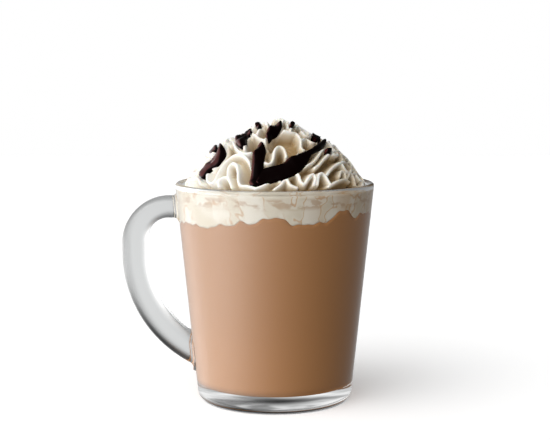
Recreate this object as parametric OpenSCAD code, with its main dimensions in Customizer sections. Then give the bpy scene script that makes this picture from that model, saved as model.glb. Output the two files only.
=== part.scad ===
// Hot chocolate in a tapered glass mug, with a melting cream layer and a
// piped mound of whipped cream. The origin is the middle of the mug's
// underside, +Z is up and the handle points along -X.

/* [Mug] */
// Height of the mug, from the underside to the top of the lip
mug_height = 104; // [84:1:130]
// Diameter that the tapered wall reaches at the top of the lip
rim_d = 94.6; // [78:0.2:114]
// Diameter of the foot, where the tapered wall would meet the table
base_d = 73.4; // [58:0.1:90]
// Thickness of the glass wall
wall = 3; // [2:0.1:5]
// Thickness of the glass under the drink
base_thick = 8; // [4:0.5:14]
// Outside rounding where the wall meets the underside
foot_round = 4; // [1:0.5:7]
// Inside rounding where the wall meets the floor
floor_round = 4; // [1:0.5:8]

/* [Handle] */
// Thickness of the handle, seen from the side
handle_thick = 12.4; // [8:0.2:16]
// Width of the handle, seen from behind it
handle_width = 13; // [9:0.5:18]
// Rounding of the handle's long edges
handle_round = 3.8; // [1:0.2:4]
// Clear width between the wall and the grip
finger_gap = 15.6; // [12:0.1:26]
// Distance from the lip down to the middle of the upper root
upper_root_drop = 11.7; // [10:0.1:20]
// Height of the middle of the lower root above the underside
lower_root_height = 22.5; // [14:0.5:32]
// Radius of the upper bend, to the middle of the handle
bend_radius = 16; // [11:0.5:20]
// Length of the straight part below the upper bend
grip_straight = 6.3; // [0.5:0.1:16]

/* [Drink] */
// Distance from the lip down to the top of the cream layer
fill_drop = 2.5; // [1:0.5:12]
// Mean depth from the lip to where cream meets drink
melt_depth = 16.3; // [13:0.1:26]
// How far the melt line drops toward the handle and rises away from it
melt_lean = 2.9; // [0:0.1:5]
// Height of the small waves in the melt line
melt_wave = 1.3; // [0:0.1:2]

/* [Whipped cream] */
// Height of the mound above the cream layer
cream_height = 32; // [20:0.5:44]
// Clear ring between the foot of the mound and the glass
cream_clear = 0.4; // [0.2:0.1:3]
// Turns of the piped rope from foot to tip
cream_turns = 2.5; // [1.5:0.25:4]
// Depth of the groove between two turns of the rope
coil_depth = 4.5; // [1:0.1:6]
// Flutes that the star nozzle leaves across one turn
flutes = 2; // [1:1:3]
// Depth of those flutes
flute_depth = 3; // [0.5:0.1:4]
// Folds that one turn of the rope is ruffled into
folds = 8; // [5:1:12]
// How far a fold pushes a flute sideways, in flutes
fold_push = 0.3; // [0:0.05:0.45]
// Angle that the folds lean round the mound from foot to tip
fold_lean = 200; // [0:10:360]

/* [Hidden] */
$fn = 96;

// The wall leans outward by this angle
lean = atan((rim_d - base_d) / 2 / mug_height);
// Room that a cut reaches past the face it opens
past = 1;

function outer_r(z) = base_d / 2 + z * tan(lean);
function inner_r(z) = outer_r(z) - wall / cos(lean);

// Middle of a rounding of radius r that touches the level z and, from
// within, the leaning line of radius line_r at that level
function rounding_x(line_r, r) = line_r + r * tan(lean) - r / cos(lean);

// Steps of the faceted solids
sectors = 72;
floor_steps = 4;
surface_steps = 3;
cream_sectors = 84;
cream_rings = 32;
// Share of the mound's rise over which its relief grows at the foot, and
// over which it fades again at the tip
foot_fade = 0.12;
tip_fade = 0.33;

fill_z = mug_height - fill_drop;
melt_z = mug_height - melt_depth;

// ---- glass mug -------------------------------------------------------

// Half outline of a tapered cup between two levels, with its lower
// corner rounded. line_r is the radius of the wall line at the lower level.
module tapered_half(low, high, line_r, corner) {
    x = rounding_x(line_r, corner);
    top_r = line_r + (high - low) * tan(lean);
    translate([0, low]) {
        polygon([
            [0, 0], [x, 0],
            [x + corner * cos(lean), corner - corner * sin(lean)],
            [top_r, high - low], [0, high - low]
        ]);
        intersection() {
            translate([x, corner]) circle(corner);
            translate([x, 0]) square([2 * corner, 2 * corner]);
        }
    }
}

// Outer body, closed by a lip as round as the wall is thick
module cup_solid() {
    lip_r = wall / 2;
    lip_z = mug_height - lip_r;
    lip_x = outer_r(lip_z) - lip_r / cos(lean);
    rotate_extrude() {
        tapered_half(0, lip_z + lip_r * sin(lean), base_d / 2, foot_round);
        translate([lip_x, lip_z]) circle(lip_r);
    }
}

// Space that the drink and the cream layer fill, open at the top
module cavity() {
    rotate_extrude()
        tapered_half(base_thick, mug_height + past, inner_r(base_thick), floor_round);
}

// Rounded rectangle, thickness along X and width along Y
module handle_section() {
    flat_x = handle_thick - 2 * handle_round;
    flat_y = handle_width - 2 * handle_round;
    square([flat_x, handle_width], center = true);
    square([handle_thick, flat_y], center = true);
    for (x = [-1, 1], y = [-1, 1])
        translate([x * flat_x / 2, y * flat_y / 2]) circle(handle_round);
}

// Part of a ring round the Y axis, from one angle through a sweep.
// Angles run from +X toward +Z.
module handle_arc(radius, from, sweep) {
    rotate([90, 0, 0]) rotate([0, 0, from])
        rotate_extrude(angle = sweep) translate([radius, 0]) handle_section();
}

// The handle leaves the wall level, bends down to the grip, and sweeps
// back to the wall in one long arc
module handle() {
    top_z = mug_height - upper_root_drop;
    bend_z = top_z - bend_radius;
    grip_z = bend_z - grip_straight;
    grip_x = -(outer_r(bend_z) + finger_gap + handle_thick / 2);
    bend_x = grip_x + bend_radius;
    root_x = -(outer_r(top_z) - wall);
    foot_x = -(outer_r(lower_root_height) - wall / 2);
    span_x = foot_x - grip_x;
    span_z = grip_z - lower_root_height;
    sweep_r = (span_x * span_x + span_z * span_z) / (2 * span_x);
    sweep = atan2(span_z, sweep_r - span_x);
    sunk = handle_thick / 2 / sweep_r * 180 / PI;

    translate([grip_x, 0, bend_z]) {
        translate([bend_radius, 0, 0]) {
            handle_arc(bend_radius, 90, 90);
            translate([0, 0, bend_radius]) rotate([0, 90, 0])
                linear_extrude(root_x - bend_x) handle_section();
        }
        translate([0, 0, -grip_straight]) {
            linear_extrude(grip_straight) handle_section();
            translate([sweep_r, 0, 0]) handle_arc(sweep_r, 180, sweep + sunk);
        }
    }
}

module mug() {
    color([0.86, 0.9, 0.9, 0.45]) difference() {
        union() {
            cup_solid();
            handle();
        }
        cavity();
    }
}

// ---- drink and cream layer ---------------------------------------------

// Closed skin over rings of n points each, from a lowest to a highest
// middle point. Each ring runs counter-clockwise seen from above. shift
// picks the diagonal that splits each four-sided patch, 0 or 1, so that two
// skins that share a surface are split alike.
module ring_skin(rings, low, high, shift = 0) {
    n = len(rings[0]);
    last = len(rings) - 1;
    points = concat([low], [for (ring = rings) each ring], [high]);
    function at(ring, i) = 1 + ring * n + i % n;
    top = len(points) - 1;
    polyhedron(points, concat(
        [for (i = [0 : n - 1]) [0, at(0, i), at(0, i + 1)]],
        [for (k = [0 : last - 1], i = [0 : n - 1])
            [at(k, i), at(k + 1, i), at(k + 1 - shift, i + 1)]],
        [for (k = [0 : last - 1], i = [0 : n - 1])
            [at(k + shift, i), at(k + 1, i + 1), at(k, i + 1)]],
        [for (i = [0 : n - 1]) [top, at(last, i + 1), at(last, i)]]
    ));
}

// Height of the melt line on the glass: it leans down toward the handle
// and carries waves of three lengths
function melt_line(a) = melt_z + melt_lean * cos(a)
    + melt_wave * (sin(5 * a + 70) + 0.7 * sin(8 * a) + 0.5 * sin(13 * a + 30)) / 2;

// The melt surface is level in the middle and rises to the line at the wall
function melt_point(a, share) =
    let (z_wall = melt_line(a), z = melt_z + (z_wall - melt_z) * share * share)
    let (r = inner_r(z_wall) * share)
    [r * cos(a), r * sin(a), z];

function circle_points(r, z) =
    [for (i = [0 : sectors - 1]) let (a = 360 * i / sectors) [r * cos(a), r * sin(a), z]];

function melt_ring(share) =
    [for (i = [0 : sectors - 1]) melt_point(360 * i / sectors, share)];

// Rings up the rounded corner of the cavity, from the floor to the wall
function floor_rings() =
    let (x = rounding_x(inner_r(base_thick), floor_round))
    [for (k = [0 : floor_steps])
        let (a = (90 - lean) * k / floor_steps)
        circle_points(x + floor_round * sin(a), base_thick + floor_round * (1 - cos(a)))];

module hot_chocolate() {
    color([0.72, 0.57, 0.44]) ring_skin(
        concat(floor_rings(),
            [for (k = [0 : surface_steps - 1]) melt_ring(1 - k / surface_steps)]),
        [0, 0, base_thick], [0, 0, melt_z], 1);
}

module cream_layer() {
    color([0.93, 0.88, 0.78]) ring_skin(
        concat([for (k = [1 : surface_steps]) melt_ring(k / surface_steps)],
            [circle_points(inner_r(fill_z), fill_z)]),
        [0, 0, melt_z], [0, 0, fill_z]);
}

// ---- whipped cream -------------------------------------------------------

// How far round the dome's height a point is set in: each turn of the
// rope is round across, and its flutes wander from side to side as folds
function rope_inset(a, rise) =
    let (turn = cream_turns * rise - a / 360, across = abs(sin(180 * turn)))
    let (wander = fold_push * sin(folds * a + fold_lean * rise))
    let (flute = 0.5 - 0.5 * cos(360 * (flutes * turn + wander)))
    coil_depth * (1 - sqrt(across)) + flute_depth * flute * across;

// The mound is an oval dome. The inset is taken along the dome's normal
// and fades out at the tip.
function cream_point(a, rise) =
    let (foot = inner_r(fill_z) - cream_clear, tilt = 90 * rise)
    let (normal = [cream_height * cos(tilt), foot * sin(tilt)])
    let (relief = min(1, (1 - rise) / tip_fade) * min(1, (rise + foot_fade / 4) / foot_fade))
    let (inset = rope_inset(a, rise) * relief)
    let (r = foot * cos(tilt) - inset * normal[0] / norm(normal))
    let (z = cream_height * sin(tilt) - inset * normal[1] / norm(normal))
    [r * cos(a), r * sin(a), fill_z + max(0, z)];

module whipped_cream() {
    color([0.98, 0.96, 0.9]) ring_skin(
        [for (k = [0 : cream_rings - 1])
            [for (i = [0 : cream_sectors - 1])
                cream_point(360 * i / cream_sectors, k / cream_rings)]],
        [0, 0, fill_z], [0, 0, fill_z + cream_height]);
}

mug();
hot_chocolate();
cream_layer();
whipped_cream();
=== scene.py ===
import math
import bpy
import bmesh
import numpy as np
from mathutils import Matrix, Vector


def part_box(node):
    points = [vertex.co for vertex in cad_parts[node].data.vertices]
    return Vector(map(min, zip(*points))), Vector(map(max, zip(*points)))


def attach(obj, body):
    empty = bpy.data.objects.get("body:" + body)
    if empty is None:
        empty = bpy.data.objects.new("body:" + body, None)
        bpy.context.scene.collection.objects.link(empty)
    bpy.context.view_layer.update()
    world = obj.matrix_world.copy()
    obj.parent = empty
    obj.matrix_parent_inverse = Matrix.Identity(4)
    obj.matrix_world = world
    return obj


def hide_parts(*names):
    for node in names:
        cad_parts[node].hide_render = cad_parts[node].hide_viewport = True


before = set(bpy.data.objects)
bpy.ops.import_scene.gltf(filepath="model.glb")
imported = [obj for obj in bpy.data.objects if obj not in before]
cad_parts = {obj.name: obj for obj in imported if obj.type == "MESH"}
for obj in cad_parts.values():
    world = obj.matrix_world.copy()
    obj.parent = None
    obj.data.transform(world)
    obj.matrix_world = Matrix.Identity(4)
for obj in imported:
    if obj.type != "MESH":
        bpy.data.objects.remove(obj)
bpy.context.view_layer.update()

# ---------------------------------------------------------------- glass mug
# A tapered mug of thick clear glass, pressed in one piece with its handle and
# fire-polished. The body is turned, the handle is a bar carried along its
# bend, and the two are joined with a small fillet, as they leave the mould.

MM = 0.001
mug_low, mug_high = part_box("mug")
MUG_HEIGHT = mug_high[2]
WALL = 3 * MM
# The wall leans outward by this angle
LEAN = math.radians(5.82)
BASE_THICK = 8 * MM
# Rounding under the wall outside, and where the wall meets the floor inside
FOOT_ROUND = 4 * MM
FLOOR_ROUND = 4 * MM
# The shallow hollow in the underside
PUNT_RADIUS = 27 * MM
PUNT_DEPTH = 1.2 * MM
LIP_RADIUS = WALL / 2
LIP_Z = MUG_HEIGHT - LIP_RADIUS
LIP_MIDDLE = mug_high[0] - LIP_RADIUS
# Radius that the wall's outside reaches at the level of the underside
FOOT_LINE = LIP_MIDDLE + LIP_RADIUS / math.cos(LEAN) - LIP_Z * math.tan(LEAN)
MUG_SECTORS = 216
PUNT_STEPS = 16
CORNER_STEPS = 12
WALL_STEPS = 60
LIP_ARC_STEPS = 16

HANDLE_THICK = 12.4 * MM
HANDLE_WIDTH = 13 * MM
HANDLE_ROUND = 3.8 * MM
HANDLE_FILLET = 2.6 * MM
# The handle's thickness where it leaves the wall, as a share of its full one
HANDLE_NECK = 0.82
BEND_RADIUS = 16 * MM
UPPER_ROOT_Z = MUG_HEIGHT - 11.7 * MM
LOWER_ROOT_Z = 22.5 * MM
GRIP_STRAIGHT = 6.3 * MM
# Lines along the handle, rings in each of its stretches, and how often the
# place where a line meets the wall is narrowed down by half
HANDLE_SIDES = 64
ROOT_RINGS = 18
BEND_RINGS = 39
GRIP_RINGS = 7
SWEEP_RINGS = 89
HALVINGS = 40


def outer_r(z):
    """Radius of the wall's outside: a straight line that leans outward."""
    return FOOT_LINE + z * math.tan(LEAN)


def inner_r(z):
    """Radius of the wall's inside: the outer line less the wall's thickness."""
    return outer_r(z) - WALL / math.cos(LEAN)


def arc(middle, radius, start, end, steps):
    """Points of a circular arc in a plane, from one angle to another in degrees."""
    a = np.radians(np.linspace(start, end, steps + 1))
    return np.stack([middle[0] + radius * np.cos(a), middle[1] + radius * np.sin(a)], 1)


def straight(start, end, steps):
    """Evenly spaced points from start up to, but not including, end."""
    share = np.arange(steps)[:, None] / steps
    return np.array(start) * (1 - share) + np.array(end) * share


def turned(outline, sectors):
    """Rings of a turned shape: each outline point (r, z) carried round the Z axis."""
    a = np.linspace(0, 2 * np.pi, sectors, endpoint=False)
    r, z = outline[:, :1], outline[:, 1:]
    return np.stack([r * np.cos(a), r * np.sin(a), z + 0 * a], 2)


def ring_mesh(name, rings, first=None, last=None):
    """Closed skin over rings of equal length, each joined to the next by
    four-sided faces, with a fan of triangles to a point before the first ring
    and to one after the last."""
    rows, cols = rings.shape[:2]
    first = rings[0].mean(0) if first is None else first
    last = rings[-1].mean(0) if last is None else last
    points = np.concatenate([rings.reshape(-1, 3), [first], [last]])
    here = np.arange(rows * cols).reshape(rows, cols)
    right = np.roll(here, -1, axis=1)
    quads = np.stack([here[:-1], right[:-1], right[1:], here[1:]], 2).reshape(-1, 4)
    low = np.stack([np.full(cols, rows * cols), right[0], here[0]], 1)
    high = np.stack([np.full(cols, rows * cols + 1), here[-1], right[-1]], 1)
    mesh = bpy.data.meshes.new(name)
    mesh.from_pydata(points.tolist(), [], quads.tolist() + low.tolist() + high.tolist())
    mesh.shade_smooth()
    piece = bpy.data.objects.new(name, mesh)
    bpy.context.scene.collection.objects.link(piece)
    return piece


def rounding_middle(line_r, low, radius):
    """Middle of a rounding that touches the level low and the wall line,
    which has the radius line_r at that level."""
    return line_r + radius * math.tan(LEAN) - radius / math.cos(LEAN), low + radius


def mug_outline():
    """Half outline of the glass from the middle of the underside, up the
    outside, over the lip, down the inside and back to the middle of the
    floor: straight lines joined by arcs. The hollow in the underside is a
    squared cosine of the radius."""
    tilt = math.degrees(LEAN)
    foot = rounding_middle(outer_r(0), 0, FOOT_ROUND)
    floor = rounding_middle(inner_r(BASE_THICK), BASE_THICK, FLOOR_ROUND)
    punt_r = np.linspace(0.04, 1, PUNT_STEPS) * PUNT_RADIUS
    punt_z = PUNT_DEPTH * np.cos(np.pi / 2 * punt_r / PUNT_RADIUS) ** 2
    foot_arc = arc(foot, FOOT_ROUND, -90, -tilt, CORNER_STEPS)
    lip_arc = arc((LIP_MIDDLE, LIP_Z), LIP_RADIUS, -tilt, 180 - tilt, LIP_ARC_STEPS)
    floor_arc = arc(floor, FLOOR_ROUND, -tilt, -90, CORNER_STEPS)
    return np.concatenate([
        np.stack([punt_r, punt_z], 1),
        foot_arc,
        straight(foot_arc[-1], lip_arc[0], WALL_STEPS)[1:],
        lip_arc,
        straight(lip_arc[-1], floor_arc[0], WALL_STEPS)[1:],
        floor_arc,
        straight(floor_arc[-1], (0, BASE_THICK), CORNER_STEPS)[1:],
    ])


def handle_section():
    """Section of the handle, a rectangle with round corners: how far each
    point lies across the bar and to its side, and the way out from it. Each
    point of a plain rectangle is drawn in to its corner's middle and set out
    from there by the rounding."""
    turn = np.linspace(0, 2 * np.pi, HANDLE_SIDES, endpoint=False)
    half = np.array([HANDLE_THICK, HANDLE_WIDTH]) / 2
    flat = half - HANDLE_ROUND
    way = np.stack([np.cos(turn), np.sin(turn)], 1)
    reach = np.min(half / np.maximum(np.abs(way), 1e-9), axis=1)
    box_point = way * reach[:, None]
    corner = np.clip(box_point, -flat, flat)
    out = box_point - corner
    out /= np.linalg.norm(out, axis=1)[:, None]
    across, side = (corner + out * HANDLE_ROUND).T
    return across, side, out


def handle_rings():
    """The handle's section carried out of the wall, down the bend, along the
    grip and back into the wall along one arc. Each line of the section starts
    and ends on the middle of the wall. Close to the wall each point moves out
    from the section's middle by a quarter-round fillet."""
    across, side, out = handle_section()
    bend_z = UPPER_ROOT_Z - BEND_RADIUS
    grip_z = bend_z - GRIP_STRAIGHT
    grip_x = mug_low[0] + HANDLE_THICK / 2
    bend_x = grip_x + BEND_RADIUS
    span_x = WALL / 2 - outer_r(LOWER_ROOT_Z) - grip_x
    span_z = grip_z - LOWER_ROOT_Z
    sweep_r = (span_x**2 + span_z**2) / (2 * span_x)
    sweep_x = grip_x + sweep_r

    def middle_of_wall(z):
        """Place along X of the wall's middle, at a height and this side."""
        return -np.sqrt((outer_r(z) - WALL / 2) ** 2 - side**2)

    def stretch(x, z, facing):
        """Rings of one stretch: each point's X and Z, and the angle from +X
        toward +Z that the outer side of its section faces."""
        return np.stack(np.broadcast_arrays(x, z, facing, across)[:3])

    top_z = UPPER_ROOT_Z + across * HANDLE_NECK
    root_x = middle_of_wall(top_z)
    done = np.sin(np.linspace(0, np.pi / 2, ROOT_RINGS))[:, None]
    root = stretch(root_x + (bend_x - root_x) * done, top_z, np.pi / 2)

    a = np.radians(np.linspace(90, 180, BEND_RINGS + 1))[1:, None]
    bend_r = BEND_RADIUS + across * (1 - (1 - HANDLE_NECK) * np.sin(a))
    bend = stretch(bend_x + bend_r * np.cos(a), bend_z + bend_r * np.sin(a), a)

    done = np.linspace(0, 1, GRIP_RINGS + 1)[1:, None]
    grip = stretch(grip_x - across, bend_z - GRIP_STRAIGHT * done, np.pi)

    # Each line's end on the wall is found by halving the range it lies in
    low = np.full(HANDLE_SIDES, np.pi)
    high = np.full(HANDLE_SIDES, 1.6 * np.pi)
    for _ in range(HALVINGS):
        end = (low + high) / 2
        x = sweep_x + (sweep_r + across) * np.cos(end)
        z = grip_z + (sweep_r + across) * np.sin(end)
        inside = x > middle_of_wall(z)
        low, high = np.where(inside, low, end), np.where(inside, end, high)
    done = np.sin(np.linspace(0, np.pi / 2, SWEEP_RINGS + 1))[1:, None]
    b = np.pi + (end - np.pi) * done
    sweep = stretch(sweep_x + (sweep_r + across) * np.cos(b), grip_z + (sweep_r + across) * np.sin(b), b)

    x, z, facing = np.concatenate([root, bend, grip, sweep], axis=1)
    y = side + 0 * x
    outward = np.stack([out[:, 0] * np.cos(facing), out[:, 1] + 0 * x, out[:, 0] * np.sin(facing)], 2)
    gap = (np.hypot(x, y) - outer_r(z)) * math.cos(LEAN)
    near = np.clip(HANDLE_FILLET - gap, 0, HANDLE_FILLET)
    flare = HANDLE_FILLET - np.sqrt(HANDLE_FILLET**2 - near**2)
    return np.stack([x, y, z], 2) + outward * flare[..., None]


def outward_normals(piece):
    """Turns every face of a closed mesh outwards."""
    bm = bmesh.new()
    bm.from_mesh(piece.data)
    bmesh.ops.recalc_face_normals(bm, faces=bm.faces)
    bm.to_mesh(piece.data)
    bm.free()


def join_solids(piece, other):
    """Makes one closed solid of two overlapping ones and removes the second."""
    union = piece.modifiers.new("join", "BOOLEAN")
    union.operation = "UNION"
    union.solver = "EXACT"
    union.object = other
    joined = piece.evaluated_get(bpy.context.evaluated_depsgraph_get())
    mesh = bpy.data.meshes.new_from_object(joined)
    piece.modifiers.clear()
    piece.data = mesh
    mesh.shade_smooth()
    bpy.data.objects.remove(other)


def new_material(name):
    """A plain node material, its node tree and its shader node."""
    material = bpy.data.materials.new(name)
    material.use_nodes = True
    return material, material.node_tree, material.node_tree.nodes["Principled BSDF"]


def clear_glass():
    """Clear glass with a trace of blue-green and a fire-polished surface."""
    material, _, shader = new_material("pressed clear glass")
    shader.inputs["Base Color"].default_value = (0.93, 0.945, 0.945, 1)
    shader.inputs["Roughness"].default_value = 0.0
    shader.inputs["IOR"].default_value = 1.5
    shader.inputs["Transmission Weight"].default_value = 1.0
    return material


mug = ring_mesh("glass_mug", turned(mug_outline(), MUG_SECTORS),
                first=(0, 0, PUNT_DEPTH), last=(0, 0, BASE_THICK))
handle = ring_mesh("handle", handle_rings())
outward_normals(handle)
join_solids(mug, handle)
mug.data.materials.append(clear_glass())
# The studio's light reaches the drink as if the thin wall weren't there, and
# the wall shows no second image of the handle
mug.visible_shadow = False
mug.visible_diffuse = False
mug.visible_glossy = False
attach(mug, "root")
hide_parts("mug")

# ------------------------------------------------------------ hot chocolate
# Milky hot chocolate that fills the glass up to an uneven melt line, where
# the cream above it sinks in. It reaches just into the wall, so that no air
# shows between the drink and the glass.

# How far the drink and the cream layer reach into the wall
REACH = 0.15 * MM
FILL_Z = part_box("whipped_cream")[0][2]
# The melt line round the glass: degrees from the front toward the right, and
# depth under the lip in millimetres
MELT_LINE = [
    (-66, 17.1), (-53, 17.3), (-42, 18.3), (-35, 15.4), (-28, 16.6), (-20, 13.5), (-14, 15.3),
    (-7, 12.6), (-1, 11.7), (5, 12.3), (11, 15.4), (22, 15.0), (33, 14.4), (41, 10.0),
    (45, 9.3), (50, 10.8), (54, 14.6), (60, 12.4), (77, 12.9), (92, 14.8), (105, 12.6),
    (118, 15.6), (133, 13.6), (142, 16.6), (158, 14.8), (170, 17.2), (183, 15.0), (196, 18.0),
    (212, 15.8), (222, 19.0), (237, 16.8), (250, 19.8), (262, 18.0), (275, 19.6), (284, 17.6),
]
DRINK_SECTORS = 360
DRINK_RINGS = 40
# Places of the rings on the surface between drink and cream layer
SURFACE_SHARES = (0.97, 0.9, 0.75, 0.5, 0.2)
drink_turn = np.linspace(0, 2 * np.pi, DRINK_SECTORS, endpoint=False)


def melt_line():
    """Height of the melt line round the glass: straight lines between its
    points, averaged over five degrees, with small ripples."""
    place, depth = np.array(MELT_LINE, float).T
    under_lip = np.interp(np.degrees(drink_turn) + 90, place, depth, period=360)
    under_lip = sum(np.roll(under_lip, shift) for shift in range(-2, 3)) / 5
    ripple = 0.3 * np.sin(31 * drink_turn + 1) + 0.25 * np.sin(53 * drink_turn)
    return MUG_HEIGHT - (under_lip + ripple) * MM


def level_rings(height, shares):
    """Rings of a liquid surface, at shares of the wall's radius. It meets the
    wall at the given heights and levels off with the square of the share."""
    share = np.array(shares)[:, None]
    z = height.mean() + (height - height.mean()) * share**2
    r = (inner_r(height) + REACH) * share
    return np.stack([r * np.cos(drink_turn), r * np.sin(drink_turn), z], 2)


def wall_rings(low, high, rings):
    """Evenly spaced rings up the inside of the wall between two heights, which
    may vary round the axis. They reach just into the glass."""
    share = np.linspace(0, 1, rings)[:, None]
    z = low * (1 - share) + high * share + 0 * drink_turn
    r = inner_r(z) + REACH
    return np.stack([r * np.cos(drink_turn), r * np.sin(drink_turn), z], 2)


def drink_material():
    """Milky cocoa: one even brown, as the milk scatters light all through it,
    with no shine of its own behind the glass."""
    material, _, shader = new_material("milky cocoa")
    shader.inputs["Base Color"].default_value = (0.31, 0.138, 0.047, 1)
    shader.inputs["Roughness"].default_value = 0.35
    shader.inputs["Specular IOR Level"].default_value = 0.0
    return material


melt = melt_line()
drink_corner = rounding_middle(inner_r(BASE_THICK), BASE_THICK, FLOOR_ROUND)
corner_arc = arc(drink_corner, FLOOR_ROUND + REACH, -90, -math.degrees(LEAN), CORNER_STEPS)
on_floor = [(drink_corner[0] / 2, BASE_THICK - REACH)]
drink_rings = np.concatenate([
    turned(np.concatenate([on_floor, corner_arc]), DRINK_SECTORS),
    wall_rings(corner_arc[-1][1], melt, DRINK_RINGS)[1:],
    level_rings(melt, SURFACE_SHARES),
])
drink = ring_mesh("hot_chocolate_drink", drink_rings,
                  first=(0, 0, BASE_THICK - REACH), last=(0, 0, melt.mean()))
drink.data.materials.append(drink_material())
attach(drink, "root")
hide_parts("hot_chocolate")

# ------------------------------------------------------ melting cream layer
# Whipped cream that melts where it meets the drink and spreads against the
# glass as pale lumps with tan veins of cocoa between them.

LAYER_RINGS = 16


def math_node(tree, operation, *values):
    """A Math node whose inputs are numbers or the sockets of other nodes."""
    node = tree.nodes.new("ShaderNodeMath")
    node.operation = operation
    for socket, value in zip(node.inputs, values):
        if isinstance(value, bpy.types.NodeSocket):
            tree.links.new(value, socket)
        else:
            socket.default_value = value
    return node.outputs[0]


def mix_colours(tree, share, under, over):
    """Mixes two colours, each a value or another node's socket."""
    mix = tree.nodes.new("ShaderNodeMix")
    mix.data_type = "RGBA"
    tree.links.new(share, mix.inputs["Factor"])
    for socket, colour in ((mix.inputs["A"], under), (mix.inputs["B"], over)):
        if isinstance(colour, bpy.types.NodeSocket):
            tree.links.new(colour, socket)
        else:
            socket.default_value = (*colour, 1)
    return mix.outputs["Result"]


def ramp_between(tree, value, start, end):
    """Rises smoothly from 0 to 1 as a value goes from start to end."""
    ramp = tree.nodes.new("ShaderNodeMapRange")
    ramp.interpolation_type = "SMOOTHSTEP"
    tree.links.new(value, ramp.inputs["Value"])
    ramp.inputs["From Min"].default_value = start
    ramp.inputs["From Max"].default_value = end
    return ramp.outputs["Result"]


def noise_field(tree, scale, detail=2.0):
    """A noise over the piece's own space, with a scale for each axis in
    waves per metre."""
    place = tree.nodes.new("ShaderNodeTexCoord").outputs["Object"]
    stretch = tree.nodes.new("ShaderNodeMapping")
    stretch.inputs["Scale"].default_value = scale
    tree.links.new(place, stretch.inputs["Vector"])
    noise = tree.nodes.new("ShaderNodeTexNoise")
    noise.inputs["Scale"].default_value = 1.0
    noise.inputs["Detail"].default_value = detail
    tree.links.new(stretch.outputs["Vector"], noise.inputs["Vector"])
    return noise.outputs["Fac"]


def layer_material():
    """Wet pale cream in two shades. Over it come a streaky tan stain of cocoa that grows
    away from the handle as painted shade on the side away from the light, broken tan outlines
    where the noise of the lumps crosses its middle value, and short brown marks in a band under the lip."""
    material, tree, shader = new_material("melting cream")
    place = tree.nodes.new("ShaderNodeTexCoord").outputs["Object"]
    split = tree.nodes.new("ShaderNodeSeparateXYZ")
    tree.links.new(place, split.inputs[0])
    x, z = split.outputs["X"], split.outputs["Z"]

    lumps = noise_field(tree, (105, 105, 95))
    mottle = ramp_between(tree, lumps, 0.35, 0.65)
    pale = mix_colours(tree, mottle, (0.50, 0.44, 0.34), (0.595, 0.55, 0.47))

    # Partly painted shade: the streaky tan stain is cocoa, but it grows only toward the side away from
    # the light
    streaks = ramp_between(tree, noise_field(tree, (120, 120, 35)), 0.38, 0.62)
    away_from_light = ramp_between(tree, x, 5 * MM, 42 * MM)
    stain = math_node(tree, "MULTIPLY", away_from_light, math_node(tree, "ADD", 0.35, streaks))
    stain = math_node(tree, "MULTIPLY", stain, 0.5)
    stained_and_shaded = mix_colours(tree, stain, pale, (0.42, 0.25, 0.11))

    from_edge = math_node(tree, "ABSOLUTE", math_node(tree, "SUBTRACT", lumps, 0.5))
    edge = math_node(tree, "SUBTRACT", 1.0, ramp_between(tree, from_edge, 0.006, 0.024))
    broken = ramp_between(tree, noise_field(tree, (70, 70, 70)), 0.4, 0.52)
    vein = math_node(tree, "MULTIPLY", math_node(tree, "MULTIPLY", edge, broken), 0.7)
    veined = mix_colours(tree, vein, stained_and_shaded, (0.42, 0.24, 0.11))

    over_low = ramp_between(tree, z, 94.5 * MM, 97 * MM)
    under_high = math_node(tree, "SUBTRACT", 1.0, ramp_between(tree, z, 99.5 * MM, 101 * MM))
    band = math_node(tree, "MULTIPLY", over_low, under_high)
    marks = ramp_between(tree, noise_field(tree, (150, 150, 320), 4.0), 0.48, 0.58)
    mark = math_node(tree, "MULTIPLY", math_node(tree, "MULTIPLY", band, marks), 0.5)
    marked = mix_colours(tree, mark, veined, (0.30, 0.16, 0.07))
    tree.links.new(marked, shader.inputs["Base Color"])
    shader.inputs["Roughness"].default_value = 0.4
    shader.inputs["Specular IOR Level"].default_value = 0.0
    return material


layer_rings = np.concatenate([
    level_rings(melt, SURFACE_SHARES[::-1]),
    wall_rings(melt, FILL_Z, LAYER_RINGS),
    turned(np.array([[inner_r(FILL_Z) * share, FILL_Z] for share in (0.9, 0.5)]), DRINK_SECTORS),
])
layer = ring_mesh("melting_cream", layer_rings,
                  first=(0, 0, melt.mean()), last=(0, 0, FILL_Z))
layer.data.materials.append(layer_material())
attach(layer, "root")
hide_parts("cream_layer")

# ------------------------------------------------------------ whipped cream
# Cream piped through a star nozzle in a wide swirl. The nozzle's thin ridges
# fold back and forth as the rope settles, so that the mound is all thin round
# lips with smooth hollows between them.

CREAM_SECTORS = 560
CREAM_ROWS = 170
# Outline of the mound from foot to tip, in millimetres: radius and height
# over the mug's lip
MOUND_OUTLINE = [
    (43.2, -2.5), (42.7, 1.2), (38.8, 6.5), (35.2, 11.0), (32.4, 14.2), (28.6, 18.0),
    (23.8, 20.8), (18.8, 22.6), (14.6, 24.8), (11.4, 27.4), (7.0, 29.4), (3.0, 30.2), (0.0, 30.3),
]
# Half the width of a lip, the depth of the hollows on its two sides, and how
# quickly the surface drops into them
LIP_HALF = 0.65 * MM
DEEP_HOLLOW = 9.0 * MM
DEEP_REACH = 1.2 * MM
FOLD_HOLLOW = 8.0 * MM
FOLD_REACH = 2.8 * MM
# Slow swells over the whole mound, and the stretch at its tip where all
# relief fades out
SWELL = 1.6 * MM
TIP_FADE = 4 * MM
# Points along a lip and between two given points of any curve
LIP_STEPS = 200
CURVE_STEPS = 40
# A path is handled in parts of so many points, each with the part of the
# mound that is within its reach
PATH_PART = 40
PATH_REACH = 12 * MM
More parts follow.
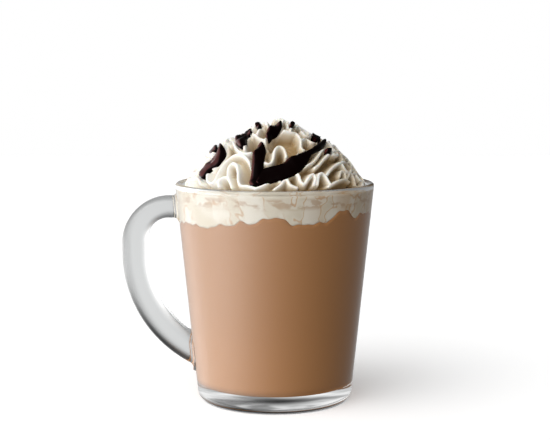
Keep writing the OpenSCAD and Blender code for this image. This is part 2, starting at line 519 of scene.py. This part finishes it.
# The sauce lies on a bed at this share of the cream's mean depth near by,
# taken over these steps of the grid. The cream lies this far under the bed,
# out to this far past the sauce's own edge.
BED_SHARE = 0.6
BED_STEPS = range(-9, 10, 3)
PRESS_DEPTH = 0.8 * MM
PRESS_MARGIN = 0.4 * MM
# How much wider a stroke is than the eye sees it, and the angles round the
# section of its bead
SAUCE_SPREAD = 1.25
STROKE_STEPS = 70
BEAD = np.linspace(0, 2 * np.pi, 28, endpoint=False)
# The eye, in front of the mug and a little above its lip, and the places
# tried along a line of sight, as shares of the way to the middle of the mug
EYE = np.array([0.15, -648, 166.4]) * MM
SIGHT_SHARES = np.linspace(0.92, 1.02, 400)
# The lips on the front of the mound, from left to right. Each point is where
# the eye finds it on an upright card through the middle of the mug, in
# millimetres to the right of the middle and over the mug's lip.
FRONT_LIPS = [
    [(-33, 5), (-32.5, 1), (-30.5, -0.5), (-28.5, 1), (-27, 5), (-24.5, 10), (-21, 13),
     (-17, 13.5), (-14, 12), (-12, 9), (-10.5, 5)],
    [(-27, -2), (-27, 0.7), (-24.7, 2.7), (-22.8, 2.4), (-21.7, -0.3), (-21.2, -2.2)],
    [(-22.8, 3), (-22.6, 7), (-21.7, 8.7), (-20.2, 9.4), (-18.5, 8.2), (-17.9, 5), (-18, 1.7),
     (-16.9, -0.9), (-13.3, -1.6), (-9.4, -2.9)],
    [(-30, 7), (-27, 11.5), (-25, 16), (-23.5, 20), (-21.2, 22), (-19.8, 19), (-18.2, 16),
     (-14.6, 14), (-10.7, 14.8), (-8, 16.1)],
    [(-14.6, 16.5), (-14.4, 20), (-12.7, 23), (-10, 23.4), (-8, 22), (-4.8, 20.5)],
    [(-8.5, 24), (-7, 27), (-4.2, 28.5), (-2.5, 27), (-2.5, 24.5), (-4.2, 22)],
    [(-4.8, 20), (-3.8, 22.3), (-2.2, 23.8), (0.2, 24.3), (3.5, 24.8), (7.6, 24.2), (10.9, 23.6),
     (12.4, 20.7), (13, 17.4), (16, 16), (20.5, 18)],
    [(-6.4, 11.5), (-4.8, 10), (-2.3, 9.5), (-0.8, 11.5), (0.1, 15.4), (1.4, 17.4), (2.8, 17.9),
     (4.3, 17.1), (5.3, 14.8), (6, 11.5), (7.6, 10.5), (10.2, 13), (12.4, 15)],
    [(3.2, 26), (3.3, 28.5), (4.7, 30.4), (6.2, 29.5), (6.6, 26.4)],
    [(7.9, 25.2), (8.5, 26.4), (10.5, 26.9), (13.2, 25.9), (14.4, 23.6)],
    [(12.8, 20.5), (15.5, 21.5), (18, 19.8), (21.3, 20), (24, 20.5)],
    [(14, 8), (18, 9.5), (21, 12.5), (23, 15.5), (26, 18.7), (27.4, 17.5), (28.5, 15.5)],
    [(19.5, 7), (22, 9), (24.6, 12), (28, 14.8), (31, 15.1), (32.8, 14.5), (33.2, 11.5)],
    [(25.3, 3.7), (28, 7), (31, 9), (34.4, 10), (37, 9.3), (38, 7)],
    [(31.8, 3.5), (32.6, 5.6), (34.4, 4.8), (35.4, 2), (37.7, 6.3), (39.6, 3.7), (41.4, 1)],
    [(-9.4, -3.2), (-5.5, -1.6), (-2.2, 1), (0, 2), (2.4, 1.4)],
    [(0, -3.4), (3, -0.9), (5.5, 1.7), (7.6, -0.9), (11, -2.4)],
    [(6, 2), (7, 4), (9, 5), (11.2, 3.7), (12.5, 0.7), (14.5, -0.7), (16.4, 2), (18.4, 3.8),
     (19.6, 2), (19, -1)],
    [(20.7, -1), (21.2, 3), (22.8, 4.5), (24.6, 3), (26.2, 0.4), (27.5, -1.2)],
    [(26.2, -2), (30.5, 0.7), (34.4, 2), (37, 1)],
    [(-41.5, 0.5), (-39.5, 3.2), (-37.5, 2), (-36.3, -0.5)],
    [(-38, 5.5), (-36.5, 8.5), (-34.5, 8), (-33.5, 5)],
]
# The lips round the rest of the mound: distance up the mound, height and
# number of the loops, and where in a loop the lip starts
LOOP_ROWS = [
    (3.8, 3.4, 12, 0.10), (13.0, 4.8, 9, 0.45), (23.0, 5.2, 7, 0.80),
    (33.0, 4.8, 5, 0.25), (43.0, 3.8, 4, 0.60),
]
# The loops run between these angles, in degrees from the front toward the right
LOOPS_START = 62
LOOPS_END = 292
# The strokes of sauce that press on the cream, each point with the stroke's
# width there: those on the front, and those on the back as seen from behind
FRONT_STROKES = [
    [(-25.6, 18.6, 1.8), (-26.6, 15.4, 2.8), (-28.3, 12.4, 3.4), (-30.6, 9.8, 3.4), (-33, 7.8, 3),
     (-35, 5.4, 3), (-36.6, 3.2, 2.4)],
    [(-31.8, 14.6, 1.8), (-30.3, 16.8, 2.4), (-28, 17.4, 1.8)],
    [(-12, 25.4, 1.8), (-14.4, 24.6, 3.6), (-16.2, 22, 4.8), (-16, 19.5, 4.2), (-15.6, 17.6, 2.4)],
    [(-9.3, 26.7, 2.2), (-6.8, 28.2, 2.2)],
    [(3.2, 29.2, 3), (0.7, 26.8, 4.4), (-2.2, 24.6, 3.6), (-3.6, 21.5, 1.8)],
    [(7.2, 27.6, 2.2), (9.6, 27.6, 2.6)],
    [(-5.6, 20, 4.4), (-7.4, 17, 4.8), (-8.2, 12, 4.8), (-9, 6, 4.6), (-9.8, 1, 5), (-10, -1.6, 5)],
    [(-9, 0, 5.4), (-5.5, 3.4, 6.6), (-1, 5, 7), (5, 6.6, 7), (10, 9.4, 7), (14.6, 13, 5),
     (18, 15.6, 2.4), (21.4, 17.8, 2.6), (24.4, 20, 2.6)],
    [(24.6, 14.6, 2.6), (27, 15.6, 3)],
]
BACK_STROKES = [
    [(-26, 18, 3), (-29, 12.5, 4.5), (-33, 7, 3.6), (-34.5, 3, 3)],
    [(-22, 21, 2.4), (-18, 22.6, 3)],
    [(-13, 25, 2.5), (-12, 19.5, 4.8), (-14.5, 12.5, 5), (-13, 5.5, 5.6), (-6, 3.5, 6.6), (2, 7.5, 7),
     (8.5, 13.5, 6), (13.5, 19.5, 4), (13, 23.5, 2)],
    [(1, 28, 2.2), (-3, 25, 4), (-2.5, 21, 2.6)],
    [(22, 20, 2.5), (24, 14, 4.6), (29, 9.5, 4), (33, 4, 3)],
]


def smooth_path(points, count):
    """Evenly spaced points on a smooth open curve through the given ones, a
    cubic whose slope at each point is that between its neighbours, with the
    length of the curve. Spacing goes by the first two columns."""
    points = np.array(points, float)
    padded = np.concatenate([[2 * points[0] - points[1]], points, [2 * points[-1] - points[-2]]])
    t = np.linspace(0, 1, CURVE_STEPS, endpoint=False)[None, :, None]
    a, b, c, d = (padded[k:len(padded) - 3 + k, None] for k in range(4))
    curve = b + 0.5 * t * (c - a + t * (2 * a - 5 * b + 4 * c - d + t * (3 * (b - c) + d - a)))
    curve = np.concatenate([curve.reshape(-1, points.shape[1]), points[-1:]])
    steps = np.linalg.norm(np.diff(curve[:, :2], axis=0), axis=1)
    along = np.concatenate([[0], np.cumsum(steps)])
    want = np.linspace(0, along[-1], count)
    return np.stack([np.interp(want, along, column) for column in curve.T], 1), along[-1]


# The mound's outline in metres, with the distance up it and the way out from
# it at each of its points
mound_line, mound_length = smooth_path(MOUND_OUTLINE, CREAM_ROWS)
mound_line = mound_line * MM + [0, MUG_HEIGHT]
mound_length *= MM
mound_along = np.linspace(0, mound_length, CREAM_ROWS)
mound_normal = np.gradient(mound_line, axis=0)[:, ::-1] * [1, -1]
mound_normal /= np.linalg.norm(mound_normal, axis=1)[:, None]


def mound_radius(along):
    """Radius of the mound at a distance up its outline."""
    return np.interp(along, mound_along, mound_line[:, 0])


def mound_point(angle, along, lift):
    """Point at an angle round the mound and a distance up its outline, lifted
    off the outline along its normal."""
    r, z = (np.interp(along, mound_along, column) for column in mound_line.T)
    out, up = (np.interp(along, mound_along, column) for column in mound_normal.T)
    r = np.maximum(r + lift * out, 0.1 * MM)
    return np.stack([r * np.cos(angle), r * np.sin(angle), z + lift * up], -1)


def seen_on_mound(points):
    """Angle and distance up the mound of points that the eye finds on the
    card: the place where each line of sight first enters the mound, or passes
    it most closely. The angle runs from the back right round to it, so that
    no curve on the front crosses its jump."""
    card = np.stack([points[:, 0], 0 * points[:, 0], points[:, 1]], 1) * MM + [0, 0, MUG_HEIGHT]
    sight = EYE + (card - EYE) * SIGHT_SHARES[:, None, None]
    z = np.clip(sight[..., 2], mound_line[0, 1], mound_line[-1, 1])
    off = np.hypot(sight[..., 0], sight[..., 1]) - np.interp(z, mound_line[:, 1], mound_line[:, 0])
    inside = off < 0
    first = np.where(inside.any(0), inside.argmax(0), off.argmin(0))
    spot = sight[first, np.arange(len(points))]
    angle = (np.arctan2(spot[:, 1], spot[:, 0]) + 1.5 * np.pi) % (2 * np.pi) - 1.5 * np.pi
    return np.stack([angle, np.interp(spot[:, 2], mound_line[:, 1], mound_along)], 1)


def loop_row(middle, height, loops, start):
    """A lip that runs round the side and back of the mound in loops: it
    swings up and down once a loop, and its necks are narrower than its heads.
    Slow waves change the size and place of the loops."""
    turn = np.linspace(0, 1, 90 * loops)
    u = 2 * np.pi * (loops * turn + start) + 1.2 * np.sin(2 * np.pi * (2.3 * turn + start))
    size = 1 + 0.4 * np.sin(2 * np.pi * (3.1 * turn + 2 * start))
    angle = math.radians(LOOPS_START - 90) + math.radians(LOOPS_END - LOOPS_START) * turn
    swing = math.radians(LOOPS_END - LOOPS_START) / loops
    angle = angle - 0.13 * swing * size * np.sin(2 * u)
    drift = 2.2 * np.sin(2 * np.pi * (1.7 * turn + 3 * start))
    return np.stack([angle, (middle + drift + height * size * np.sin(u)) * MM], 1)


def path_across(path, angle, along):
    """Distance from each point of a grid over the mound to the nearest point
    of a path, the side it lies on, and the number of that nearest point. The
    side is 1 on the path's left, -1 on its right, and between those past an
    end of the path. The path is taken in parts, each against only the grid
    points within its reach."""
    radius = mound_radius(along)
    step = np.gradient(path, axis=0) * np.stack([mound_radius(path[:, 1]), 1 + 0 * path[:, 1]], 1)
    step /= np.linalg.norm(step, axis=1)[:, None] + 1e-12
    near = np.full((len(along), len(angle)), 1.0)
    side = np.zeros_like(near)
    which = np.zeros(near.shape, int)
    for start in range(0, len(path), PATH_PART):
        part, way = path[start:start + PATH_PART], step[start:start + PATH_PART]
        middle = part[:, 0].mean()
        turn = (angle - middle + np.pi) % (2 * np.pi) - np.pi
        top_radius = mound_radius(part[:, 1].max() + PATH_REACH / 2)
        margin = PATH_REACH / np.maximum(top_radius, PATH_REACH / 2)
        columns = np.nonzero(np.abs(turn) < np.ptp(part[:, 0]) / 2 + margin)[0]
        over = along > part[:, 1].min() - PATH_REACH
        under = along < part[:, 1].max() + PATH_REACH
        rows = np.nonzero(over & under)[0]
        x = radius[rows, None, None] * (turn[columns][None, :, None] + middle - part[:, 0])
        y = along[rows, None, None] - part[:, 1] + 0 * x
        k = np.hypot(x, y).argmin(-1)[..., None]
        x, y = (np.take_along_axis(v, k, -1)[..., 0] for v in (x, y))
        far = np.hypot(x, y)
        left = (way[k[..., 0], 0] * y - way[k[..., 0], 1] * x) / (far + 1e-9)
        block = np.ix_(rows, columns)
        closer = far < near[block]
        near[block] = np.where(closer, far, near[block])
        side[block] = np.where(closer, left, side[block])
        which[block] = np.where(closer, start + k[..., 0], which[block])
    return near, side, which


def lip_depth(near, side):
    """How far the surface lies under the outline at a distance from a lip.
    The lip is round on top. On its right and past its ends it drops quickly
    into a deep hollow, and on its left slowly, as the outside of the fold.
    Both drops near their full depth exponentially."""
    crown = LIP_HALF - np.sqrt(LIP_HALF**2 - np.minimum(near, LIP_HALF) ** 2)
    fall = np.maximum(near - LIP_HALF, 0)
    deep = crown + DEEP_HOLLOW * (1 - np.exp(-fall / DEEP_REACH))
    fold = 0.5 * crown + FOLD_HOLLOW * (1 - np.exp(-fall / FOLD_REACH))
    share = np.sin(np.pi / 2 * np.clip(5 * side - 4, 0, 1)) ** 2
    return deep * (1 - share) + fold * share


def stroke_on_mound(points, behind=False):
    """A stroke of sauce on the mound as a grid of angle and distance up the
    mound: a row for each step along it, and a column for each point of the
    bead's section. It is a little wider than the eye sees it, as its edges
    sink into the cream, and round at both ends. With it go its middle line
    and half its width on the mound. A stroke on the back is placed as if seen
    from behind, by half a turn."""
    path = smooth_path(points, STROKE_STEPS)[0]
    step = np.diff(path[:, :2], axis=0)
    done = np.concatenate([[0], np.cumsum(np.linalg.norm(step, axis=1))])
    way = np.gradient(path[:, :2], axis=0)
    way /= np.linalg.norm(way, axis=1)[:, None]
    to_end = np.minimum(done, done[-1] - done)
    half = path[:, 2] / 2 * SAUCE_SPREAD
    half = half * np.sqrt(1 - np.clip(1 - to_end / half, 0, 1) ** 2)
    across = np.stack([-way[:, 1], way[:, 0]], 1)[:, None] * np.cos(BEAD)[:, None]
    card = path[:, None, :2] + half[:, None, None] * across
    spot = seen_on_mound(card.reshape(-1, 2)).reshape(card.shape)
    spot[..., 0] += math.pi * behind
    middle = spot[:, len(BEAD) // 4]
    width = spot[:, 0] - spot[:, len(BEAD) // 2]
    return spot, middle, np.hypot(width[:, 0] * mound_radius(middle[:, 1]), width[:, 1]) / 2


def mound(strokes):
    """The mound's surface on a grid of angle and distance up its outline. At
    each point the lip that gives the shallowest depth counts, slow swells are
    added, and under the strokes of sauce the surface is drawn to their bed.
    With it go a number for its painted shade and the bed. The number is the share of
    the full depth that a point has, times 0 toward the handle, where the light comes from,
    and 2 away: painted shade that deepens in the hollows and away from the light."""
    angle = np.linspace(0, 2 * np.pi, CREAM_SECTORS, endpoint=False)
    lips = [seen_on_mound(smooth_path(lip, LIP_STEPS)[0]) for lip in FRONT_LIPS]
    lips += [loop_row(*row) for row in LOOP_ROWS]
    depth = np.full((CREAM_ROWS, CREAM_SECTORS), DEEP_HOLLOW)
    for lip in lips:
        near, side, _ = path_across(lip, angle, mound_along)
        depth = np.minimum(depth, lip_depth(near, side))
    fade = np.clip((mound_length - mound_along) / TIP_FADE, 0, 1)[:, None]
    depth = depth * fade
    swell_round = np.sin(7 * angle + 1.2 * np.sin(3 * angle))
    swell_up = np.cos(mound_along[:, None] / (4.5 * MM) + 2 * angle)
    depth = depth + SWELL * (0.5 + 0.5 * swell_round * swell_up) * fade
    near_by = [np.roll(np.roll(depth, i, 0), j, 1) for i in BED_STEPS for j in BED_STEPS]
    bed = sum(near_by) / len(near_by) * BED_SHARE
    for _, middle, half in strokes:
        near, _, which = path_across(middle, angle, mound_along)
        pressed = np.clip((half[which] + PRESS_MARGIN - near) / MM, 0, 1)
        depth = depth * (1 - pressed) + (bed + PRESS_DEPTH) * pressed
    rings = mound_point(angle, mound_along[:, None], -depth)
    rings[..., 2] = np.maximum(rings[..., 2], FILL_Z - 1 * MM)
    # Painted shade: the hollows' number goes from nothing on the handle's side, where the light comes
    # from, to double on the far side
    away_from_light = np.clip(rings[..., 0] / mound_line[0, 0], -1, 1)
    return rings[:-1], (depth / DEEP_HOLLOW * (1 + away_from_light))[:-1], bed


def cream_material():
    """Dairy cream: soft, slightly see-through, with a satin skin. Its colour holds
    painted shade: the deeper in a hollow and the farther from the light, the warmer and darker it is
    painted."""
    material, tree, shader = new_material("whipped dairy cream")
    hollow = tree.nodes.new("ShaderNodeAttribute")
    hollow.attribute_name = "hollow"
    # Painted shade: the ramp runs from the cream's own colour on the lips to a shaded tan in the deepest
    # hollows on the side away from the light
    ramp = tree.nodes.new("ShaderNodeValToRGB")
    tree.links.new(hollow.outputs["Fac"], ramp.inputs["Fac"])
    ramp.color_ramp.elements[0].position = 0.07
    ramp.color_ramp.elements[0].color = (0.88, 0.86, 0.80, 1)
    ramp.color_ramp.elements[1].position = 0.75
    ramp.color_ramp.elements[1].color = (0.34, 0.23, 0.11, 1)
    middle = ramp.color_ramp.elements.new(0.3)
    middle.color = (0.64, 0.56, 0.43, 1)
    tree.links.new(ramp.outputs["Color"], shader.inputs["Base Color"])
    shader.inputs["Roughness"].default_value = 0.4
    shader.inputs["Specular IOR Level"].default_value = 0.25
    shader.inputs["Subsurface Weight"].default_value = 0.15
    shader.inputs["Subsurface Radius"].default_value = (1.0, 0.62, 0.3)
    shader.inputs["Subsurface Scale"].default_value = 1 * MM
    return material


def set_attribute(piece, name, values):
    """Stores one number for each point of a piece's mesh."""
    store = piece.data.attributes.new(name, "FLOAT", "POINT")
    store.data.foreach_set("value", np.asarray(values, np.float32))


strokes = [stroke_on_mound(points) for points in FRONT_STROKES]
strokes += [stroke_on_mound(points, behind=True) for points in BACK_STROKES]
cream_rings, shade, bed = mound(strokes)
# The foot turns in a little before the flat underside closes the mound
foot_ring = cream_rings[0] * [0.9, 0.9, 1] - [0, 0, 0.5 * MM]
cream = ring_mesh("whipped_cream_swirl", np.concatenate([[foot_ring], cream_rings]),
                  first=(0, 0, FILL_Z - 1.5 * MM))
# The hollow attribute carries the painted shade of the hollows and of the side away from the light
set_attribute(cream, "hollow", np.concatenate([shade[0], shade.ravel(), [0, 0]]))
cream.data.materials.append(cream_material())
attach(cream, "root")
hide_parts("whipped_cream")

# ---------------------------------------------------------- chocolate sauce
# Thick dark chocolate sauce, drawn over the cream from a bottle in a loose
# zigzag. It sinks a little into the folds and sets with a high gloss.

# Height of a stroke over its bed, its depth under it, and the half width
# under which it loses height
SAUCE_THICK = 1.8 * MM
SAUCE_SUNK = 2.6 * MM
SAUCE_NARROW = 1.5 * MM


def on_grid(grid, angle, along):
    """Value of a grid over the mound at an angle and a distance up it, in
    proportion between the grid's points."""
    row = np.clip(along / mound_length, 0, 0.999) * (CREAM_ROWS - 1)
    column = angle / (2 * np.pi) * CREAM_SECTORS
    i, j = np.floor(row).astype(int), np.floor(column).astype(int)
    u, v = row - i, column - j
    left, right = j % CREAM_SECTORS, (j + 1) % CREAM_SECTORS
    low = grid[i, left] * (1 - v) + grid[i, right] * v
    high = grid[i + 1, left] * (1 - v) + grid[i + 1, right] * v
    return low * (1 - u) + high * u


def sauce_stroke(name, spot, half, bed):
    """A stroke of sauce: a bead with a half-round top and a deeper half-round
    underside, carried over the bed in the cream. It is thinner where it is
    narrow."""
    angle, along = spot[..., 0], spot[..., 1]
    thick = SAUCE_THICK * np.minimum(1, half / SAUCE_NARROW)[:, None]
    lift = np.where(np.sin(BEAD) > 0, thick * np.sin(BEAD), SAUCE_SUNK * np.sin(BEAD))
    piece = ring_mesh(name, mound_point(angle, along, lift - on_grid(bed, angle, along)))
    outward_normals(piece)
    return piece


def sauce_material():
    """Dark chocolate sauce, almost black. The more a face is turned toward the light,
    on the side of the handle, the redder and glossier it is painted: painted light
    and a painted highlight."""
    material, tree, shader = new_material("dark chocolate sauce")
    # Painted light: faces turned toward the light on the left get a redder colour and a stronger
    # reflection, a painted highlight
    toward = tree.nodes.new("ShaderNodeVectorMath")
    toward.operation = "DOT_PRODUCT"
    tree.links.new(tree.nodes.new("ShaderNodeNewGeometry").outputs["Normal"], toward.inputs[0])
    toward.inputs[1].default_value = (-0.92, -0.24, 0.30)
    lit = ramp_between(tree, toward.outputs["Value"], 0.62, 1.0)
    colour = mix_colours(tree, lit, (0.0022, 0.0006, 0.0006), (0.085, 0.009, 0.007))
    tree.links.new(colour, shader.inputs["Base Color"])
    shine = math_node(tree, "ADD", math_node(tree, "MULTIPLY", lit, 0.45), 0.01)
    tree.links.new(shine, shader.inputs["Specular IOR Level"])
    shader.inputs["Roughness"].default_value = 0.16
    return material


sauce = sauce_material()
for number, (spot, _, half) in enumerate(strokes, 1):
    stroke = sauce_stroke(f"chocolate_sauce_{number}", spot, half, bed)
    stroke.data.materials.append(sauce)
    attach(stroke, "root")

# ------------------------------------------------------------------ setting
# A plain pale floor, soft light from a wide source on the left with a weaker
# one behind and a faint fill on the right, and a camera a little above the lip.

FLOOR_HALF = 1.5
FLOOR_DROP = 0.2 * MM
DISC_SECTORS = 96
CAMERA_PITCH = 7.1
CAMERA_LENS = 89.6


def pale_floor():
    """A wide level square just under the mug, with a plain pale finish. It
    throws no light on the mug and doesn't show in or through the glass."""
    mesh = bpy.data.meshes.new("floor")
    corners = [(-1, -1), (1, -1), (1, 1), (-1, 1)]
    points = [(x * FLOOR_HALF, y * FLOOR_HALF, -FLOOR_DROP) for x, y in corners]
    mesh.from_pydata(points, [], [(0, 1, 2, 3)])
    piece = bpy.data.objects.new("floor", mesh)
    bpy.context.scene.collection.objects.link(piece)
    material, _, shader = new_material("pale floor")
    shader.inputs["Base Color"].default_value = (1, 1, 1, 1)
    shader.inputs["Roughness"].default_value = 0.8
    shader.inputs["Specular IOR Level"].default_value = 0.0
    shader.inputs["Emission Color"].default_value = (1, 1, 1, 1)
    shader.inputs["Emission Strength"].default_value = 0.2
    mesh.materials.append(material)
    piece.visible_diffuse = False
    piece.visible_glossy = False
    piece.visible_transmission = False


def glow(tree, direction, strength, sharpness, flatness=0.0):
    """A soft patch of light in one direction of the sky: its strength falls
    off exponentially with one less the cosine of the angle from its middle,
    times its sharpness, and with the square of the height over or under its
    middle, times its flatness."""
    middle = np.array(direction) / np.linalg.norm(direction)
    place = tree.nodes.new("ShaderNodeTexCoord").outputs["Generated"]
    dot = tree.nodes.new("ShaderNodeVectorMath")
    dot.operation = "DOT_PRODUCT"
    tree.links.new(place, dot.inputs[0])
    dot.inputs[1].default_value = middle
    away = math_node(tree, "SUBTRACT", dot.outputs["Value"], 1.0)
    split = tree.nodes.new("ShaderNodeSeparateXYZ")
    tree.links.new(place, split.inputs[0])
    height = math_node(tree, "SUBTRACT", split.outputs["Z"], middle[2])
    flat = math_node(tree, "MULTIPLY", math_node(tree, "MULTIPLY", height, height), -flatness)
    power = math_node(tree, "ADD", math_node(tree, "MULTIPLY", away, sharpness), flat)
    return math_node(tree, "MULTIPLY", math_node(tree, "EXPONENT", power), strength)


def studio_light():
    """The sky: a faint even light, a long low source on the left, one high on
    the left, a weaker one behind on the left, a pale backdrop behind, the
    table's glow from below at the front and at the back, and a faint fill on
    the right. A dark card stands behind. The camera itself sees plain white."""
    world = bpy.data.worlds.new("studio")
    bpy.context.scene.world = world
    world.use_nodes = True
    tree = world.node_tree
    back = tree.nodes["Background"]
    back.inputs["Color"].default_value = (1, 1, 1, 1)
    total = 0.075
    for lobe in [
        ((-1.0, -0.35, -0.3), 4.8, 2.8, 18.0),
        ((-0.7, -0.75, 0.8), 3.6, 5.0),
        ((-0.85, 0.55, -0.1), 1.5, 10.0),
        ((0.0, 1.0, -0.05), 0.4, 5.0, 14.0),
        ((0.0, -0.8, -0.6), 0.35, 3.0),
        ((0.0, 0.7, -0.7), 0.25, 6.0),
        ((1.0, 0.5, 0.1), 0.2, 2.5),
    ]:
        total = math_node(tree, "ADD", glow(tree, *lobe), total)
    card = glow(tree, (0.27, 0.92, 0.15), 0.92, 30.0)
    total = math_node(tree, "MULTIPLY", total, math_node(tree, "SUBTRACT", 1.0, card))
    seen = tree.nodes.new("ShaderNodeLightPath").outputs["Is Camera Ray"]
    mix = tree.nodes.new("ShaderNodeMix")
    tree.links.new(seen, mix.inputs["Factor"])
    tree.links.new(total, mix.inputs["A"])
    mix.inputs["B"].default_value = 1.0
    tree.links.new(mix.outputs["Result"], back.inputs["Strength"])


def foot_shade():
    """A thin disc in the mug's foot, seen only through the glass. It keeps
    the light off the table under the mug. Its top is painted light: it glows in patches toward its
    rim and away from the handle, standing in for the lit table seen through a thick foot,
    and it is painted shade, near black, in its middle."""
    radius = outer_r(0) * 0.95
    edge = np.array([(radius, 0.3 * MM), (radius, 1.6 * MM)])
    piece = ring_mesh("foot_shade", turned(edge, DISC_SECTORS))
    piece.data.shade_flat()
    material, tree, shader = new_material("painted table glow")
    shader.inputs["Base Color"].default_value = (0.01, 0.01, 0.01, 1)
    shader.inputs["Roughness"].default_value = 1.0
    shader.inputs["Specular IOR Level"].default_value = 0.0
    shader.inputs["Emission Color"].default_value = (1, 1, 1, 1)
    # Painted light: the top glows, most in patches near the rim and on the side away from the light; its
    # black middle is painted shade
    facing = tree.nodes.new("ShaderNodeSeparateXYZ")
    tree.links.new(tree.nodes.new("ShaderNodeNewGeometry").outputs["Normal"], facing.inputs[0])
    upward = ramp_between(tree, facing.outputs["Z"], 0.4, 0.6)
    place = tree.nodes.new("ShaderNodeTexCoord").outputs["Object"]
    from_middle = tree.nodes.new("ShaderNodeVectorMath")
    from_middle.operation = "LENGTH"
    tree.links.new(place, from_middle.inputs[0])
    to_rim = ramp_between(tree, from_middle.outputs["Value"], 0.0, 30 * MM)
    split = tree.nodes.new("ShaderNodeSeparateXYZ")
    tree.links.new(place, split.inputs[0])
    away_from_light = ramp_between(tree, split.outputs["X"], -28 * MM, 14 * MM)
    patches = ramp_between(tree, noise_field(tree, (55, 55, 55)), 0.42, 0.6)
    painted_glow = math_node(tree, "ADD", math_node(tree, "MULTIPLY", away_from_light, 0.45), 0.08)
    painted_glow = math_node(tree, "ADD", math_node(tree, "MULTIPLY", patches, 0.6), painted_glow)
    strength = math_node(tree, "MULTIPLY", math_node(tree, "MULTIPLY", upward, to_rim), painted_glow)
    tree.links.new(strength, shader.inputs["Emission Strength"])
    piece.data.materials.append(material)
    piece.visible_camera = False
    piece.visible_glossy = False


def camera():
    """A long lens a little above the lip, looking slightly down."""
    data = bpy.data.cameras.new("camera")
    data.lens = CAMERA_LENS
    piece = bpy.data.objects.new("camera", data)
    piece.location = EYE
    piece.rotation_euler = (math.radians(90 - CAMERA_PITCH), 0, 0)
    bpy.context.scene.collection.objects.link(piece)
    bpy.context.scene.camera = piece


pale_floor()
foot_shade()
studio_light()
camera()
bpy.context.scene.view_settings.view_transform = "Standard"
